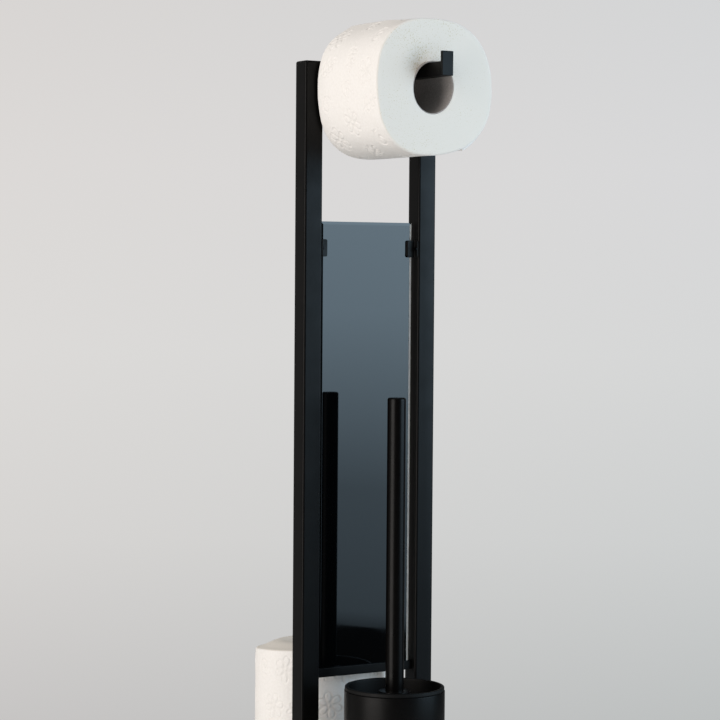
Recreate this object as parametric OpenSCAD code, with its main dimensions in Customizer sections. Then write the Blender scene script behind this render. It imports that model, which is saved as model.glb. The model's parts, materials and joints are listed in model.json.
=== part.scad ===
// Free-standing toilet butler: a hoop of square tube on a steel base, with an
// arm for the roll in use, a dark glass pane, an open brush holder in front
// and a rod for two spare rolls behind. Millimetres, +Z up, front towards -Y,
// origin in the middle of the base's underside.

/* [Base] */
// Width of the base plate
base_w = 180; // [160:1:260]
// Depth of the base plate
base_d = 240; // [232:1:320]
// Thickness of the base plate
base_t = 6; // [4:0.5:12]
// Corner radius of the base plate, seen from above
base_r = 8; // [3:1:30]
// Chamfer along the upper edge of the base plate
base_edge = 1; // [0.5:0.1:2]
// Thickness of the anti-slip mat under the base
mat_t = 1.5; // [1:0.5:4]
// Distance from the plate's edge in to the mat's edge
mat_inset = 2; // [0.5:0.5:10]
// Corner radius of the mat, seen from above
mat_r = 6; // [1:1:20]

/* [Frame] */
// Height of the hoop's top above the floor
frame_h = 724; // [646:1:900]
// Width of the hoop over both posts
frame_w = 134.5; // [126:0.5:150]
// Distance from the base's front edge back to the hoop's middle plane
frame_setback = 106; // [104:1:112]
// Side of the square tube
tube_w = 18; // [15:0.5:22]
// Wall of the square tube
tube_wall = 1.5; // [1:0.1:2.5]
// Outer corner radius of the square tube
tube_r = 2; // [0.5:0.1:3]
// Rounding of the hoop's two upper corners, seen from the front
corner_r = 2; // [0.5:0.1:4]
// Height of the threaded plug welded into each post's foot
plug_h = 12; // [9:1:30]

/* [Crossbar and pane] */
// Height of the crossbar's underside above the floor
cross_z = 187.5; // [186:0.5:260]
// Height of the crossbar
cross_h = 8; // [6:0.5:14]
// Depth of the groove that the pane stands in
groove_depth = 2; // [1:0.5:4]
// Lip of the crossbar in front of the groove
cross_lip = 1.5; // [1:0.1:3]
// Lip of the crossbar behind the groove
cross_back = 1.5; // [1:0.1:3]
// Height of the pane
pane_h = 392.5; // [300:0.5:430]
// Thickness of the pane
pane_t = 4; // [3:0.5:6]
// Distance from the posts' front back to the pane's front face
pane_set = 7.5; // [7:0.5:8]
// Gap between the pane's side edge and the post
pane_gap = 2.5; // [2:0.1:3]
// Width of the bevel round the pane's front face
bevel_w = 2.3; // [1:0.1:5]
// Depth of that bevel, measured into the glass
bevel_d = 0.5; // [0.3:0.1:1.5]

/* [Pane clips] */
// Distance from the pane's top edge down to the middle of the clips
clip_drop = 23; // [12:1:80]
// Height of a clip
clip_h = 15; // [9:0.5:30]
// Reach of a clip from its post over the pane
clip_reach = 8; // [6.5:0.5:16]
// Thickness of the clip's web and of its screw tab
clip_web = 1; // [0.8:0.1:1.4]
// Thickness of the clip's front jaw
jaw_front = 1.8; // [1:0.1:2.4]
// Thickness of the clip's rear jaw
jaw_back = 2.5; // [1.5:0.1:3]
// Thickness of the soft pads between jaws and pane
pad_t = 0.5; // [0.3:0.1:1]
// Distance from the post's front back to the edge of the screw tab
tab_inset = 0.2; // [0:0.1:0.4]
// Rounding of the clip's corners
clip_r = 1.5; // [0.5:0.1:2]

/* [Roll arm] */
// Width of the arm's bar
arm_w = 11; // [8:0.5:16]
// Height of the arm's bar
arm_h = 12; // [8:0.5:16]
// Free length of the arm in front of the roll
arm_free = 16.5; // [5:0.5:40]
// Height of the upright stop at the arm's tip
stop_h = 20.5; // [16:0.5:30]
// Thickness of that stop
stop_t = 3; // [2:0.5:6]
// Depth of the arm's threaded hole
arm_thread = 15; // [8:1:40]

/* [Paper rolls] */
// Width of a roll
roll_w = 98; // [85:1:108]
// Diameter of the roll in use
roll_d = 117; // [70:1:124]
// Diameter of a full spare roll
spare_d = 120; // [90:1:124]
// Inner diameter of the cardboard core
core_d = 43; // [38:0.5:50]
// Wall of the cardboard core
core_t = 1; // [0.6:0.1:2]
// Distance from the roll's face in to the core's end
core_inset = 0.5; // [0:0.1:3]
// Rounding of the roll's outer edges
roll_edge = 3; // [1:0.5:6]
// Gap between the top bar and the roll in use
roll_gap = 2.7; // [1:0.1:10]

/* [Brush holder] */
// Outer diameter of the steel container
can_d = 87; // [82:0.5:94]
// Wall of the steel container
can_wall = 1.2; // [0.8:0.1:2]
// Floor of the steel container
can_floor = 2; // [1:0.5:4]
// Height of the steel container
can_h = 174.7; // [120:0.1:177]
// Distance from the base's front edge back to the container
can_setback = 2.75; // [2:0.25:8]
// Sideways place of the brush holder, to the right of the middle
can_x = -4; // [-20:0.5:20]
// Diameter of the nut welded on the container's floor
nut_d = 14; // [10:0.5:20]
// Height of that nut
nut_h = 5; // [4:0.5:8]
// Height of the liner's lip above the container
lip_h = 3.2; // [2:0.1:7]
// Rounding of the liner's lip
lip_edge = 0.8; // [0.2:0.1:1]
// Distance from the container's outer face in to the lip
lip_inset = 0.5; // [0:0.1:1]
// Wall of the plastic liner
liner_wall = 1.6; // [1:0.1:3]
// Floor of the plastic liner
liner_floor = 2; // [1:0.5:4]
// Gap between liner and container at the mouth
liner_gap = 0.8; // [0.4:0.1:2]
// How much narrower the liner's radius is at its foot
liner_draft = 1.5; // [0.5:0.1:4]
// Height of the liner's foot above the nut
liner_foot = 1.5; // [1:0.5:10]

/* [Brush] */
// Diameter of the handle
handle_d = 16; // [12:0.5:24]
// Length of the handle above its collar
handle_l = 253.2; // [180:0.1:255]
// Wall of the handle's tube
handle_wall = 1.2; // [0.8:0.1:2]
// Rounding of the handle's upper edge
handle_edge = 2; // [0.5:0.1:4]
// Diameter of the collar
collar_d = 27.5; // [22:0.5:40]
// Thickness of the collar
collar_t = 3; // [1:0.5:5]
// Distance from the rim down to the collar's upper face
collar_drop = 4.2; // [1:0.1:20]
// Length of the stem's plug inside the handle
plug_l = 22; // [12:1:60]
// Diameter of the stem below the collar
stem_d = 10; // [7:0.5:12]
// Height of the set screw above the collar
set_z = 5; // [2:0.5:10]
// Diameter of the brush head's core
head_d = 22; // [18:0.5:28]
// Height of the brush head's core
head_h = 76; // [50:1:90]
// Depth of the stem's socket in that core
socket_l = 25; // [12:1:40]
// Thickness of the sleeve that the tufts grow from
sleeve_t = 1.5; // [1:0.1:2.5]
// Gap between the bristles and the liner's wall
bristle_gap = 4; // [2:0.5:10]
// Length of the bristles under the head's core
bristle_foot = 18; // [12:1:30]
// Rows of bristle tufts
tuft_rows = 9; // [4:1:10]
// Tufts in a row
tuft_count = 18; // [8:1:18]
// Thickness of a tuft where it leaves the sleeve
tuft_root = 2.4; // [1.5:0.1:3]
// Thickness of a tuft at its tip
tuft_tip = 6; // [2:0.5:6]
// Tufts that point straight down
foot_count = 8; // [4:1:8]
// Gap between the tips of those tufts
tuft_gap = 0.3; // [0.1:0.1:1]

/* [Spare roll rod] */
// Diameter of the rod
rod_d = 14; // [10:0.5:24]
// Height of the rod above the base plate
rod_h = 168; // [60:1:190]
// Rounding of the rod's upper edge
rod_edge = 3; // [0.5:0.5:5]
// Gap between the spare rolls and the rearmost piece of the frame
spare_gap = 1.65; // [1:0.05:20]

/* [Screws] */
// Thread diameter of the screws under the base
base_screw_d = 6; // [4:0.5:6]
// Head diameter of the screws under the base
base_head_d = 12; // [9:0.5:12]
// How far those screws reach above the base plate
base_bite = 6; // [4:0.5:6]
// Thread diameter of the arm's screw
arm_screw_d = 5; // [3:0.5:6]
// Head diameter of the arm's screw
arm_head_d = 9.5; // [8:0.5:12]
// Head height of the arm's screw
arm_head_h = 2.75; // [1.5:0.25:4]
// Thread diameter of the clip screws
clip_screw_d = 2; // [1.5:0.1:2.5]
// Head diameter of the clip screws
clip_head_d = 4; // [3:0.1:4.2]
// Head height of the clip screws
clip_head_h = 1; // [0.5:0.1:1.5]
// How far the clip screws reach inside the post
clip_bite = 1; // [0.5:0.5:5]
// Thread diameter of the handle's set screw
set_screw_d = 3; // [2:0.5:3.5]
// Length of the handle's set screw
set_screw_l = 3; // [2:0.5:4]
// How far the set screw lies below the handle's surface
set_screw_sink = 0.4; // [0.2:0.1:0.8]

/* [Fits] */
// Clearance between pieces that come apart in use
clear = 0.3; // [0.2:0.05:0.5]
// Radial clearance of a screw in its hole and a plug in its tube
fit = 0.05; // [0.02:0.01:0.1]

/* [Hidden] */
$fn = 64;

// Colours
coat_black = "#1b1b1d";
glass_black = "#2a3136";
plastic_black = "#141414";
rubber_grey = "#2e2e2e";
steel_grey = "#8b8d90";
screw_black = "#202021";
paper_white = "#ece9e4";
card_grey = "#9b8f82";

// Cuts run this far past the faces that they open
past = 1;

// Base and frame
deck_z = mat_t + base_t;
frame_y = frame_setback - base_d / 2;
post_x = (frame_w - tube_w) / 2;
inner_x = frame_w / 2 - tube_w;
tube_in = tube_w - 2 * tube_wall;
bar_z = frame_h - tube_w;

bar_front = frame_y - tube_w / 2;
bar_rear = frame_y + tube_w / 2;

// Pane, crossbar and clips
pane_front = bar_front + pane_set;
pane_back = pane_front + pane_t;
pane_z = cross_z + cross_h - groove_depth;
pane_x = inner_x - pane_gap;
cross_front = pane_front - clear - cross_lip;
cross_rear = pane_back + clear + cross_back;
clip_z = pane_z + pane_h - clip_drop;
clip_front = pane_front - pad_t - jaw_front;
clip_rear = pane_back + pad_t + jaw_back;
tab_l = clip_front - bar_front - tab_inset;
clip_screw_y = clip_front - tab_l / 2;
frame_rear = max(bar_rear + arm_head_h, cross_rear, clip_rear);

// Arm and the roll on it: the core hangs on the arm's two upper edges
arm_top = bar_z + arm_h;
arm_axis = bar_z + arm_h / 2;
arm_l = roll_gap + roll_w + arm_free;
core_r = core_d / 2;
roll_z = arm_top + clear - sqrt(core_r * core_r - arm_w * arm_w / 4);
roll_y = bar_front - roll_gap - roll_w;

// Brush holder
can_r = can_d / 2;
can_y = can_setback + can_r - base_d / 2;
can_top = deck_z + can_h;
lip_z = can_top + clear;
rim_z = lip_z + lip_h;
liner_r = can_r - can_wall - liner_gap;
liner_in = liner_r - liner_wall;
liner_z = deck_z + can_floor + nut_h + liner_foot;
well_z = liner_z + liner_floor;

// Brush
collar_z = rim_z - collar_drop - collar_t;
handle_z = collar_z + collar_t;
handle_r = handle_d / 2;
stem_plug_r = handle_r - handle_wall - fit;
bristle_z = well_z + clear;
head_z = bristle_z + bristle_foot;
bristle_r = liner_in - liner_draft - bristle_gap;
sleeve_r = head_d / 2 + sleeve_t;
tuft_angle = 360 / tuft_count;
tuft_pitch = (head_h - tuft_tip) / (tuft_rows - 1);
corner_ring = (head_d - tuft_root) / 2;
foot_ring = (head_d / 2 - tuft_root) / 2;
foot_tip = min(tuft_tip, 2 * foot_ring * sin(180 / foot_count) - tuft_gap);
corner_len = (bristle_foot - tuft_tip / 2) * sqrt(2) - tuft_tip / 2;

// Spare rolls
rod_y = frame_rear + spare_gap + spare_d / 2;
lower_z = deck_z + clear;
upper_z = lower_z + roll_w + clear;

// Screws under the base: x and y of the two posts, the brush holder and the rod
base_screw_at = [[-post_x, frame_y], [post_x, frame_y], [can_x, can_y], [0, rod_y]];
base_screw_l = base_t + base_bite;
sink_h = (base_head_d - base_screw_d) / 2;

// A socket's size across its corners, as a share of its screw's thread
hex_ratio = 0.78;

// Flat shapes

module rounded_rect(w, h, r) {
    square([w - 2 * r, h], center = true);
    square([w, h - 2 * r], center = true);
    for (sx = [-1, 1], sy = [-1, 1])
        translate([sx * (w / 2 - r), sy * (h / 2 - r)]) circle(r);
}

module tube_section() {
    difference() {
        rounded_rect(tube_w, tube_w, tube_r);
        square(tube_in, center = true);
    }
}

// Front view of the whole hoop, filled, with its two upper corners rounded
module hoop_outline() {
    translate([-frame_w / 2, 0]) square([frame_w, frame_h - corner_r]);
    translate([-frame_w / 2 + corner_r, 0]) square([frame_w - 2 * corner_r, frame_h]);
    for (sx = [-1, 1])
        translate([sx * (frame_w / 2 - corner_r), frame_h - corner_r]) circle(corner_r);
}

// Extrudes a front view back through the hoop's depth
module through_frame() {
    translate([0, bar_rear + past, 0])
        rotate([90, 0, 0])
            linear_extrude(tube_w + 2 * past) children();
}

// Solids that several pieces share

// Round bar standing on z = 0, with a rounded upper edge
module round_bar(r, h, edge) {
    rotate_extrude() {
        square([r - edge, h]);
        square([r, h - edge]);
        translate([r - edge, h - edge]) circle(edge);
    }
}

// Flat plate on z = 0 with rounded corners and a chamfer along its upper edge
module chamfered_plate(w, d, t, r, c) {
    rotate([90, 0, 90])
        translate([0, 0, -w / 2 + r])
            linear_extrude(w - 2 * r) plate_profile(d, t, c);
    rotate([90, 0, 0])
        translate([0, 0, -d / 2 + r])
            linear_extrude(d - 2 * r) plate_profile(w, t, c);
    for (sx = [-1, 1], sy = [-1, 1])
        translate([sx * (w / 2 - r), sy * (d / 2 - r), 0])
            rotate_extrude() polygon([[0, 0], [r, 0], [r, t - c], [r - c, t], [0, t]]);
}

module plate_profile(w, t, c) {
    polygon([[-w / 2, 0], [w / 2, 0], [w / 2, t - c], [w / 2 - c, t], [-w / 2 + c, t], [-w / 2, t - c]]);
}

// Countersunk screw with its head down on z = 0
module sunk_screw() {
    cylinder(h = sink_h, r1 = base_head_d / 2, r2 = base_screw_d / 2);
    cylinder(h = base_screw_l, r = base_screw_d / 2);
}

// Hole for that screw
module sunk_screw_hole() {
    translate([0, 0, -past]) cylinder(h = past, r = base_head_d / 2 + fit);
    cylinder(h = sink_h, r1 = base_head_d / 2 + fit, r2 = base_screw_d / 2 + fit);
    cylinder(h = base_screw_l + past, r = base_screw_d / 2 + fit);
}

// Paper wound on a core, standing on z = 0
module roll_paper(d) {
    r = d / 2;
    hole = core_r + core_t;
    rotate_extrude() {
        translate([hole, 0]) square([r - roll_edge - hole, roll_w]);
        translate([hole, roll_edge]) square([r - hole, roll_w - 2 * roll_edge]);
        for (z = [roll_edge, roll_w - roll_edge])
            translate([r - roll_edge, z]) circle(roll_edge);
    }
}

module roll_core() {
    translate([0, 0, core_inset])
        difference() {
            cylinder(h = roll_w - 2 * core_inset, r = core_r + core_t);
            translate([0, 0, -past]) cylinder(h = roll_w + 2 * past, r = core_r);
        }
}

module on_arm() {
    translate([0, roll_y, roll_z]) rotate([-90, 0, 0]) children();
}

module on_rod(z) {
    translate([0, rod_y, z]) children();
}

module in_holder(z = 0) {
    translate([can_x, can_y, z]) children();
}

// Base

module anti_slip_mat() {
    color(rubber_grey)
        linear_extrude(mat_t)
            rounded_rect(base_w - 2 * mat_inset, base_d - 2 * mat_inset, mat_r);
}

module base_plate() {
    color(coat_black)
        difference() {
            translate([0, 0, mat_t]) chamfered_plate(base_w, base_d, base_t, base_r, base_edge);
            for (at = base_screw_at)
                translate([at.x, at.y, mat_t]) sunk_screw_hole();
        }
}

module base_screws() {
    color(steel_grey)
        for (at = base_screw_at)
            translate([at.x, at.y, mat_t])
                difference() {
                    sunk_screw();
                    translate([0, 0, -past])
                        cylinder(h = sink_h + past, d = base_screw_d * hex_ratio, $fn = 6);
                }
}

// Frame

module post_left() {
    color(coat_black)
        difference() {
            intersection() {
                translate([-post_x, frame_y, deck_z]) linear_extrude(frame_h) tube_section();
                through_frame()
                    intersection() {
                        hoop_outline();
                        polygon([
                            [-frame_w / 2, 0], [-inner_x, 0], [-inner_x, bar_z], [-frame_w / 2, frame_h]
                        ]);
                    }
            }
            clip_screw_hole();
        }
}

module post_right() {
    mirror([1, 0, 0]) post_left();
}

// Hole for the left clip's screw, through the post's inner wall
module clip_screw_hole() {
    depth = tube_wall + clip_bite + fit;
    translate([-inner_x - depth, clip_screw_y, clip_z])
        rotate([0, 90, 0]) cylinder(h = depth + past, r = clip_screw_d / 2 + fit);
}

module post_plugs() {
    color(steel_grey)
        for (sx = [-1, 1])
            translate([sx * post_x, frame_y, deck_z])
                difference() {
                    linear_extrude(plug_h) square(tube_in - 2 * fit, center = true);
                    translate([0, 0, -past])
                        cylinder(h = plug_h + 2 * past, r = base_screw_d / 2 + fit);
                }
}

module top_bar() {
    color(coat_black)
        difference() {
            intersection() {
                translate([-frame_w / 2, frame_y, frame_h - tube_w / 2])
                    rotate([90, 0, 90]) linear_extrude(frame_w) tube_section();
                through_frame()
                    intersection() {
                        hoop_outline();
                        polygon([
                            [-frame_w / 2, frame_h], [-inner_x, bar_z],
                            [inner_x, bar_z], [frame_w / 2, frame_h]
                        ]);
                    }
            }
            translate([0, bar_rear + past, arm_axis])
                rotate([90, 0, 0])
                    cylinder(h = tube_w + 2 * past, r = arm_screw_d / 2 + fit);
        }
}

module lower_crossbar() {
    color(coat_black)
        difference() {
            translate([-inner_x, cross_front, cross_z])
                cube([2 * inner_x, cross_rear - cross_front, cross_h]);
            translate([-inner_x - past, pane_front - clear, pane_z])
                cube([2 * (inner_x + past), pane_t + 2 * clear, groove_depth + past]);
        }
}

// Pane and clips

// Plan of the pane, or its side view: a bar with its front corners bevelled
module pane_profile(w) {
    polygon([
        [-w / 2 + bevel_w, 0], [w / 2 - bevel_w, 0], [w / 2, bevel_d],
        [w / 2, pane_t], [-w / 2, pane_t], [-w / 2, bevel_d]
    ]);
}

module glass_panel() {
    color(glass_black)
        translate([0, pane_front, pane_z])
            intersection() {
                linear_extrude(pane_h) pane_profile(2 * pane_x);
                translate([-pane_x, 0, pane_h / 2])
                    rotate([0, 90, 0]) linear_extrude(2 * pane_x) pane_profile(pane_h);
            }
}

// Clip on the left post: two jaws round the pane's edge, joined by a thin web
// that runs forward along the post as the tab for the screw
module glass_clip() {
    depth = clip_rear - clip_front;
    translate([-inner_x, 0, clip_z])
        difference() {
            union() {
                translate([0, clip_rear, 0])
                    rotate([90, 0, 0])
                        linear_extrude(depth)
                            intersection() {
                                rounded_rect(2 * clip_reach, clip_h, clip_r);
                                translate([0, -clip_h / 2]) square([clip_reach, clip_h]);
                            }
                rotate([0, 90, 0])
                    linear_extrude(clip_web)
                        intersection() {
                            translate([0, clip_front]) rounded_rect(clip_h, 2 * tab_l, clip_r);
                            translate([-clip_h / 2, clip_front - tab_l])
                                square([clip_h, tab_l + jaw_front]);
                        }
            }
            translate([clip_web, pane_front - pad_t, -clip_h / 2 - past])
                cube([clip_reach, pane_t + 2 * pad_t, clip_h + 2 * past]);
            translate([-past, clip_screw_y, 0])
                rotate([0, 90, 0]) cylinder(h = clip_web + 2 * past, r = clip_screw_d / 2 + fit);
        }
}

module glass_clip_left() {
    color(plastic_black) glass_clip();
}

module glass_clip_right() {
    color(plastic_black) mirror([1, 0, 0]) glass_clip();
}

// Pads on both faces of the pane, under the jaws of the left clip
module pads_in_clip() {
    for (y = [pane_front - pad_t, pane_back])
        translate([-pane_x + bevel_w, y, clip_z - clip_h / 2 + clip_r])
            cube([clip_reach - pane_gap - bevel_w, pad_t, clip_h - 2 * clip_r]);
}

module clip_pads() {
    color(rubber_grey) {
        pads_in_clip();
        mirror([1, 0, 0]) pads_in_clip();
    }
}

module clip_screw() {
    translate([-inner_x, clip_screw_y, clip_z])
        rotate([0, 90, 0]) {
            translate([0, 0, clip_web])
                difference() {
                    cylinder(h = clip_head_h, r = clip_head_d / 2);
                    translate([0, 0, clip_head_h / 2])
                        cylinder(h = clip_head_h, d = clip_screw_d * hex_ratio, $fn = 6);
                }
            translate([0, 0, -tube_wall - clip_bite])
                cylinder(h = clip_web + tube_wall + clip_bite, r = clip_screw_d / 2);
        }
}

module clip_screws() {
    color(screw_black) {
        clip_screw();
        mirror([1, 0, 0]) clip_screw();
    }
}

// Roll arm

module roll_arm() {
    color(coat_black)
        difference() {
            translate([-arm_w / 2, bar_front - arm_l, bar_z]) cube([arm_w, arm_l, arm_h]);
            translate([0, bar_front + past, arm_axis])
                rotate([90, 0, 0])
                    cylinder(h = arm_thread + fit + past, r = arm_screw_d / 2 + fit);
        }
}

module arm_stop() {
    color(coat_black)
        translate([-arm_w / 2, bar_front - arm_l - stop_t, bar_z])
            cube([arm_w, stop_t, stop_h]);
}

module arm_screw() {
    color(steel_grey)
        translate([0, bar_rear, arm_axis])
            rotate([90, 0, 0]) {
                cylinder(h = tube_w + arm_thread, r = arm_screw_d / 2);
                difference() {
                    translate([0, 0, -arm_head_h])
                        cylinder(h = arm_head_h, r1 = (arm_head_d - arm_head_h) / 2, r2 = arm_head_d / 2);
                    translate([0, 0, -arm_head_h - past])
                        cylinder(h = arm_head_h / 2 + past, d = arm_screw_d * hex_ratio, $fn = 6);
                }
            }
}

// Roll in use

module hanging_roll_paper() {
    color(paper_white) on_arm() roll_paper(roll_d);
}

module hanging_roll_core() {
    color(card_grey) on_arm() roll_core();
}

// Brush holder

module brush_container() {
    color(coat_black)
        in_holder(deck_z)
            difference() {
                cylinder(h = can_h, r = can_r);
                translate([0, 0, can_floor]) cylinder(h = can_h, r = can_r - can_wall);
                translate([0, 0, -past])
                    cylinder(h = can_floor + 2 * past, r = base_screw_d / 2 + fit);
            }
}

module container_nut() {
    color(steel_grey)
        in_holder(deck_z + can_floor)
            difference() {
                cylinder(h = nut_h, r = nut_d / 2);
                translate([0, 0, -past]) cylinder(h = nut_h + 2 * past, r = base_screw_d / 2 + fit);
            }
}

// Tapered cup that hangs by its lip on the container's edge
module container_liner() {
    lip_r = can_r - lip_inset;
    foot_r = liner_r - liner_draft;
    color(plastic_black)
        in_holder()
            rotate_extrude() {
                difference() {
                    polygon([[0, liner_z], [foot_r, liner_z], [liner_r, lip_z], [0, lip_z]]);
                    polygon([
                        [-past, well_z], [foot_r - liner_wall, well_z], [liner_in, lip_z + past],
                        [-past, lip_z + past]
                    ]);
                }
                translate([liner_in, lip_z]) square([lip_r - liner_in, lip_h - lip_edge]);
                translate([liner_in + lip_edge, lip_z])
                    square([lip_r - liner_in - 2 * lip_edge, lip_h]);
                for (r = [liner_in + lip_edge, lip_r - lip_edge])
                    translate([r, rim_z - lip_edge]) circle(lip_edge);
            }
}

// Brush

module brush_handle() {
    color(coat_black)
        in_holder(handle_z)
            difference() {
                round_bar(handle_r, handle_l, handle_edge);
                translate([0, 0, -past])
                    cylinder(h = handle_l - 2 * handle_wall + past, r = handle_r - handle_wall);
                set_screw_hole(handle_r);
            }
}

// Radial hole on the left, from past the surface inwards
module set_screw_hole(r) {
    translate([-r - past, 0, set_z])
        rotate([0, 90, 0])
            cylinder(h = past + handle_wall + set_screw_l, r = set_screw_d / 2 + fit);
}

module handle_set_screw() {
    color(screw_black)
        in_holder(handle_z)
            translate([-handle_r + set_screw_sink, 0, set_z])
                rotate([0, 90, 0])
                    difference() {
                        cylinder(h = set_screw_l, r = set_screw_d / 2);
                        translate([0, 0, -past])
                            cylinder(h = past + set_screw_l / 2, d = set_screw_d / 2, $fn = 6);
                    }
}

module handle_collar() {
    color(coat_black)
        in_holder(collar_z)
            difference() {
                cylinder(h = collar_t, r = collar_d / 2);
                translate([0, 0, -past]) cylinder(h = collar_t + 2 * past, r = stem_d / 2 + fit);
            }
}

// Plug in the handle's foot, and a thinner rod down into the brush head
module brush_stem() {
    color(plastic_black)
        in_holder() {
            difference() {
                translate([0, 0, handle_z]) cylinder(h = plug_l, r = stem_plug_r);
                translate([0, 0, handle_z]) set_screw_hole(handle_r);
            }
            translate([0, 0, head_z + head_h - socket_l])
                cylinder(h = handle_z - head_z - head_h + socket_l, r = stem_d / 2);
        }
}

module brush_head() {
    color(plastic_black)
        in_holder(head_z)
            difference() {
                cylinder(h = head_h, r = head_d / 2);
                translate([0, 0, head_h - socket_l])
                    cylinder(h = socket_l + past, r = stem_d / 2 + fit);
            }
}

module tuft(len, tip) {
    cylinder(h = len, r1 = tuft_root / 2, r2 = tip / 2, $fn = 16);
}

// Sleeve on the head's core with rows of tufts, a slanting row round its foot
// and a bunch straight down
module brush_bristles() {
    root = sleeve_r - sleeve_t / 2;
    color(plastic_black)
        in_holder(head_z) {
            difference() {
                translate([0, 0, -sleeve_t]) cylinder(h = head_h + sleeve_t, r = sleeve_r);
                cylinder(h = head_h + past, r = head_d / 2);
            }
            for (row = [0:tuft_rows - 1], i = [0:tuft_count - 1])
                rotate([0, 0, (i + (row % 2) / 2) * tuft_angle])
                    translate([root, 0, tuft_tip / 2 + row * tuft_pitch])
                        rotate([0, 90, 0]) tuft(bristle_r - root, tuft_tip);
            for (i = [0:tuft_count - 1])
                rotate([0, 0, (i + 0.5) * tuft_angle])
                    translate([corner_ring, 0, -sleeve_t / 2])
                        rotate([0, 135, 0]) tuft(corner_len, tuft_tip);
            for (i = [0:foot_count - 1])
                rotate([0, 0, i * 360 / foot_count])
                    translate([foot_ring, 0, -sleeve_t / 2])
                        rotate([180, 0, 0]) tuft(bristle_foot - sleeve_t / 2, foot_tip);
        }
}

// Spare rolls

module spare_rod() {
    color(coat_black)
        translate([0, rod_y, deck_z])
            difference() {
                round_bar(rod_d / 2, rod_h, rod_edge);
                translate([0, 0, -past])
                    cylinder(h = base_bite + 2 * past, r = base_screw_d / 2 + fit);
            }
}

module spare_roll_lower_paper() {
    color(paper_white) on_rod(lower_z) roll_paper(spare_d);
}

module spare_roll_lower_core() {
    color(card_grey) on_rod(lower_z) roll_core();
}

module spare_roll_upper_paper() {
    color(paper_white) on_rod(upper_z) roll_paper(spare_d);
}

module spare_roll_upper_core() {
    color(card_grey) on_rod(upper_z) roll_core();
}

anti_slip_mat();
base_plate();
base_screws();
post_left();
post_right();
post_plugs();
top_bar();
lower_crossbar();
glass_panel();
glass_clip_left();
glass_clip_right();
clip_pads();
clip_screws();
roll_arm();
arm_stop();
arm_screw();
hanging_roll_paper();
hanging_roll_core();
brush_container();
container_nut();
container_liner();
brush_handle();
handle_set_screw();
handle_collar();
brush_stem();
brush_head();
brush_bristles();
spare_rod();
spare_roll_lower_paper();
spare_roll_lower_core();
spare_roll_upper_paper();
spare_roll_upper_core();
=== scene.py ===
"""Toilet butler stand in black powder-coated steel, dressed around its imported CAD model.

Metres, +Z up, front towards -Y. Sizes are read from the CAD nodes' boxes where those have them.
"""

import json
import math
import random

import bmesh
import bpy
from mathutils import Matrix, Vector, kdtree, noise


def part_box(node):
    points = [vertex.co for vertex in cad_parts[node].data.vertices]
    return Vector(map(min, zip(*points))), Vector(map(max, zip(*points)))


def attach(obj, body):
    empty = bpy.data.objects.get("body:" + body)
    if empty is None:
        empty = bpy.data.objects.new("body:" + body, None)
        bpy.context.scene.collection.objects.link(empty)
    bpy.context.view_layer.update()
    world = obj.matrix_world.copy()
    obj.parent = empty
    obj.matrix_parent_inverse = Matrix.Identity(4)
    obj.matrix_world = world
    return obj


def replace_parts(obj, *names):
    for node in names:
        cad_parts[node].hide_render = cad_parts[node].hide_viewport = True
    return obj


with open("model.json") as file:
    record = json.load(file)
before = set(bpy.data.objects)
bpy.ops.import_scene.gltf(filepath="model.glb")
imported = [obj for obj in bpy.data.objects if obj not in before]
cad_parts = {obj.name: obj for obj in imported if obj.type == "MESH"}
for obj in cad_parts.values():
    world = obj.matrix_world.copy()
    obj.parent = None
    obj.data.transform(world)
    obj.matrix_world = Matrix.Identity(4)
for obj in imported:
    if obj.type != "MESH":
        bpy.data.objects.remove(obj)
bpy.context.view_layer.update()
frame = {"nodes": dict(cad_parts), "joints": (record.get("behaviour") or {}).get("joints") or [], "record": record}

MM = 0.001
TINY = 1e-6
SMOOTH_ANGLE = math.radians(38)

# Cosine above which two directions count as the same.
PARALLEL = 0.999


# Measures taken from the CAD model


class Span:
    """A CAD node's box: lowest and highest corner, middle and size."""

    def __init__(self, node_name):
        self.low, self.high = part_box(node_name)
        self.mid = (self.low + self.high) / 2
        self.size = self.high - self.low


mat = Span("anti_slip_mat")
base = Span("base_plate")
post = Span("post_left")
bar = Span("top_bar")
pane = Span("glass_panel")
arm = Span("roll_arm")
stop = Span("arm_stop")
can = Span("brush_container")
liner = Span("container_liner")
collar = Span("handle_collar")
head = Span("brush_head")
bristles = Span("brush_bristles")
rod = Span("spare_rod")
roll = Span("hanging_roll_paper")

HOOP_TOP = bar.high.z
HOOP_Y = bar.mid.y
HALF_HOOP = -post.low.x


def shown(name, data):
    """A new object of the scene."""
    made = bpy.data.objects.new(name, data)
    bpy.context.scene.collection.objects.link(made)
    return made


# Camera, solved from the perspective of the photograph's 720 by 720 pixels

IMAGE_SIZE = 720
FOCAL_PIXELS = 2378.69
SENSOR = 36.0
EYE_LEFT = 1.0877
EYE_FRONT = 1.7893
EYE_BELOW_TOP = 0.17985
YAW = math.radians(31.176)
PITCH = math.radians(2.1717)
ROLL = math.radians(0.4195)


def photo_camera():
    """The camera at the photograph's eye point, turned as it was."""
    data = bpy.data.cameras.new("camera")
    data.sensor_width = SENSOR
    data.lens = SENSOR * FOCAL_PIXELS / IMAGE_SIZE
    camera = shown("camera", data)
    level = Vector((math.cos(YAW), -math.sin(YAW), 0))
    flat = math.cos(PITCH)
    ahead = Vector((math.sin(YAW) * flat, math.cos(YAW) * flat, -math.sin(PITCH)))
    above = level.cross(ahead)
    right = math.cos(ROLL) * level + math.sin(ROLL) * above
    up = math.cos(ROLL) * above - math.sin(ROLL) * level
    facing = Matrix((right, up, -ahead)).transposed().to_4x4()
    eye = Vector((-EYE_LEFT, HOOP_Y - EYE_FRONT, HOOP_TOP - EYE_BELOW_TOP))
    camera.matrix_world = Matrix.Translation(eye) @ facing
    bpy.context.scene.camera = camera


photo_camera()


# Shader helpers

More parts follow.
